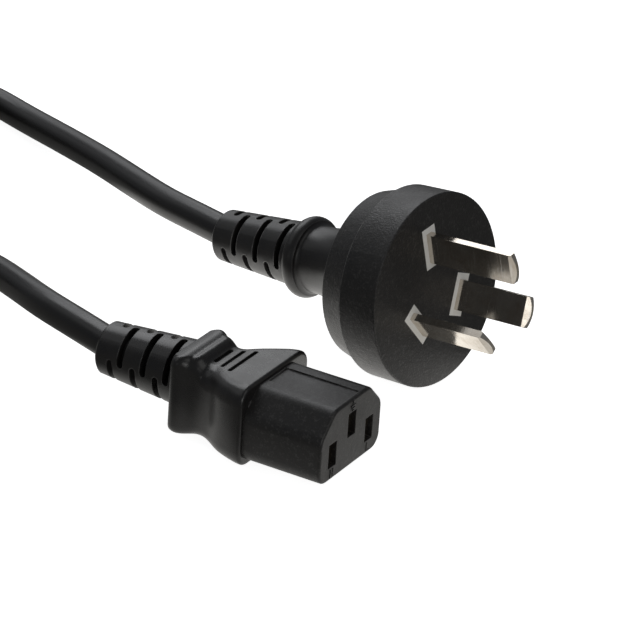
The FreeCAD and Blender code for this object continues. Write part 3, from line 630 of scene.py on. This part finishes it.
finishes = {
    "plug_body": "plug",
    "pin_carrier": "carrier",
    "connector_body": "grip",
    "connector_nose": "nose",
    "coil_tie": "tie",
    "plug_sheath_end": "cord",
    "connector_sheath_end": "cord",
}
for way in ("earth", "live", "neutral"):
    finishes[way + "_pin"] = "nickel"
    finishes[way + "_contact"] = "contact"
    for end in ("plug", "connector"):
        finishes[f"{end}_{way}_core"] = way + "Core"
        finishes[f"{end}_{way}_strands"] = "copper"

for nodeName, finishName in finishes.items():
    node = nodes[nodeName]
    if not node.material_slots:
        node.data.materials.append(None)
    for slot in node.material_slots:
        slot.material = materials[finishName]
print("materials on", len(finishes), "nodes")

# Grip: its rear block is fuller at the front of its flat top than the solid has it

gripBlock = {
    "depth": 31.7,        # mm, from the nose's face to the middle of what is filled
    "reach": 1.7,         # from there to where the fill ends, either way
    "fill": 0.62,
    "slotLevel": 5.5,     # the slots' height over the nose's underside
    "foot": 9.5,          # nothing below this height moves
    "top": 14.0,          # from here up it moves by the whole fill
    "probe": 0.01,        # step over which the fill's slope is taken
}


def connectorFrame():
    axis = Vector(mounts["connector_slots"]["axis"])
    middle = Vector(mounts["connector_slots"]["pos_m"])
    upward = (middle - Vector(mounts["connector_face"]["pos_m"])).normalized()
    return middle, axis, upward


def shapeGrip(settings):
    middle, axis, upward = connectorFrame()
    probe = settings["probe"]

    def lift(point):
        away = (point - middle) / mm
        share = (-away.dot(axis) - settings["depth"]) / settings["reach"]
        if abs(share) >= 1:
            return 0.0
        level = away.dot(upward) + settings["slotLevel"]
        rise = (level - settings["foot"]) / (settings["top"] - settings["foot"])
        return settings["fill"] * (1 - share * share) ** 2 * eased(rise)

    def slopeAt(point):
        here = lift(point)
        ahead, above = (lift(point + way * probe * mm) for way in (axis, upward))
        return (axis * (ahead - here) + upward * (above - here)) / probe

    mesh = nodes["connector_body"].data.copy()
    mesh.name = "connector_grip"
    normals = []
    for loop, corner in zip(mesh.loops, mesh.corner_normals):
        normal = Vector(corner.vector)
        slope = slopeAt(mesh.vertices[loop.vertex_index].co)
        normals.append((normal - slope * (upward.dot(normal) / (1 + slope.dot(upward)))).normalized())
    for vertex in mesh.vertices:
        vertex.co += upward * (lift(vertex.co) * mm)
    mesh.normals_split_custom_set(normals)
    grip = addThing("connector_grip", mesh)
    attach(grip, "root")
    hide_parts("connector_body")
    return grip


connectorGrip = shapeGrip(gripBlock)
print("grip shaped")

# Marks beside the three slots, raised strokes as on any such connector

marks = {
    "stroke": 0.17,                  # mm, half thickness
    "roundness": 3,                  # steps in a quarter of the stroke's section
    "gap": 1.35,                     # from a slot's end to the middle of its mark
    "slotHalf": 2.625,
    "slotPitch": 14.0,               # between the live and the neutral slot
    "earthRise": 3.93,               # of the earth slot over the line of the two others
    "strokes": {
        "live": [[(-0.45, 0.9), (-0.45, -0.9), (0.5, -0.9)]],
        "neutral": [[(-0.5, -0.9), (-0.5, 0.9), (0.5, -0.9), (0.5, 0.9)]],
        "earth": [[(0, 1.0), (0, 0.05)], [(-0.85, 0.05), (0.85, 0.05)], [(-0.55, -0.5), (0.55, -0.5)],
                  [(-0.25, -1.0), (0.25, -1.0)]],
    },
}


def layMarks(settings):
    middle, axis, upward = connectorFrame()
    across = upward.cross(axis)
    drop = settings["slotHalf"] + settings["gap"]
    centres = {
        "live": (settings["slotPitch"] / 2, -drop),
        "neutral": (-settings["slotPitch"] / 2, -drop),
        "earth": (0, settings["earthRise"] + drop),
    }
    made = []
    for way, strokes in settings["strokes"].items():
        curve = bpy.data.curves.new(way + "_mark", "CURVE")
        curve.dimensions = "3D"
        curve.bevel_depth = settings["stroke"] * mm
        curve.bevel_resolution = settings["roundness"]
        curve.use_fill_caps = True
        for stroke in strokes:
            line = curve.splines.new("POLY")
            line.points.add(len(stroke) - 1)
            for point, (sideways, rise) in zip(line.points, stroke):
                aside = (centres[way][0] + sideways) * mm
                above = (centres[way][1] + rise) * mm
                point.co = (*(middle + across * aside + upward * above), 1)
        mark = addThing(way + "_mark", curve)
        curve.materials.append(materials["mark"])
        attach(mark, "root")
        made.append(mark)
    return made


slotMarks = layMarks(marks)
print("marks on the connector")

# Cord

cordRun = {
    "diameter": 6.6,                  # mm, as the places below
    "length": 1.5,                    # metres
    "plugSide": [
        (-38.91, 0.8, 15.01), (-48.1, 3.08, 14.31), (-60.5, 6.3, 13.1), (-74.0, 11.8, 11.4),
        (-90.5, 19.1, 9.0), (-108.5, 26.3, 6.2), (-125.5, 32.2, 4.0), (-141.01, 35.48, 4.1),
    ],
    "connectorSide": [
        (-28.96, -47.53, 11.25), (-38.29, -45.75, 11.33), (-50.5, -42.8, 10.8), (-62.5, -37.2, 8.6),
        (-75.5, -31.2, 6.0), (-88.0, -27.9, 4.2), (-100.5, -28.4, 4.4), (-113.5, -32.4, 7.0),
        (-126.89, -37.12, 10.7),
    ],
    "coilCentre": (-175.0, -8.8),
    "rings": (41.8, 35.2, 28.6),      # the three turns of a layer, outermost first
    "layers": (4.1, 10.7),            # heights of the two layers
    "entryAngle": 94.0,
    "exitAngle": -72.0,
    "wholeTurns": 5,
    "step": 15.0,                     # degrees between coil points
    "swap": 60.0,                     # degrees over which a turn moves to the next ring
    "roundness": 10,                  # steps in a quarter of the cord's section
    "smoothness": 8,                  # steps from point to point
}


def coilPoints(run):
    # bottom layer from the outer ring inwards, then the top layer back out
    outer, middle, inner = run["rings"]
    low, high = run["layers"]
    centreX, centreY = run["coilCentre"]
    pull = math.cos(math.radians(run["step"] / 2))   # the line cuts inside its points by this
    turns = run["wholeTurns"] + (run["exitAngle"] - run["entryAngle"]) % 360 / 360
    # after so many turns: from this ring to that one, and from this layer to that one
    changes = [(1, outer, middle, low, low), (2, middle, inner, low, low), (3, inner, inner, low, high),
               (4, inner, middle, high, high), (5, middle, outer, high, high)]
    points = []
    count = round(turns * 360 / run["step"])
    for index in range(count + 1):
        turned = index * turns * 360 / count
        radius, level = outer, low
        for lap, before, after, lower, upper in changes:
            share = eased((turned - lap * 360) / run["swap"] + 0.5)
            if share > 0:
                radius = before + (after - before) * share
                level = lower + (upper - lower) * share
        angle = math.radians(run["entryAngle"] + turned)
        reach = radius / pull
        points.append((centreX + reach * math.cos(angle), centreY + reach * math.sin(angle), level))
    return points


def layCord(run):
    points = run["plugSide"] + coilPoints(run) + run["connectorSide"][::-1]
    curve = bpy.data.curves.new("mains_cord", "CURVE")
    curve.dimensions = "3D"
    curve.bevel_depth = run["diameter"] / 2 * mm
    curve.bevel_resolution = run["roundness"]
    curve.resolution_u = run["smoothness"]
    curve.use_fill_caps = True
    line = curve.splines.new("NURBS")
    line.points.add(len(points) - 1)
    for point, place in zip(line.points, points):
        point.co = (*(value * mm for value in place), 1)
    line.order_u = 3
    line.use_endpoint_u = True
    cord = addThing("mains_cord", curve)
    curve.materials.append(materials["cord"])
    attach(cord, "root")
    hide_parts("cord_plug_side", "cord_coil", "cord_connector_side")
    onCord = ["connector_nose", "connector_sheath_end", "plug_sheath_end", "coil_tie"]
    for core in ("earth", "live", "neutral"):
        onCord += [f"{core}_contact", f"connector_{core}_core", f"connector_{core}_strands"]


layCord(cordRun)
print("cord laid")
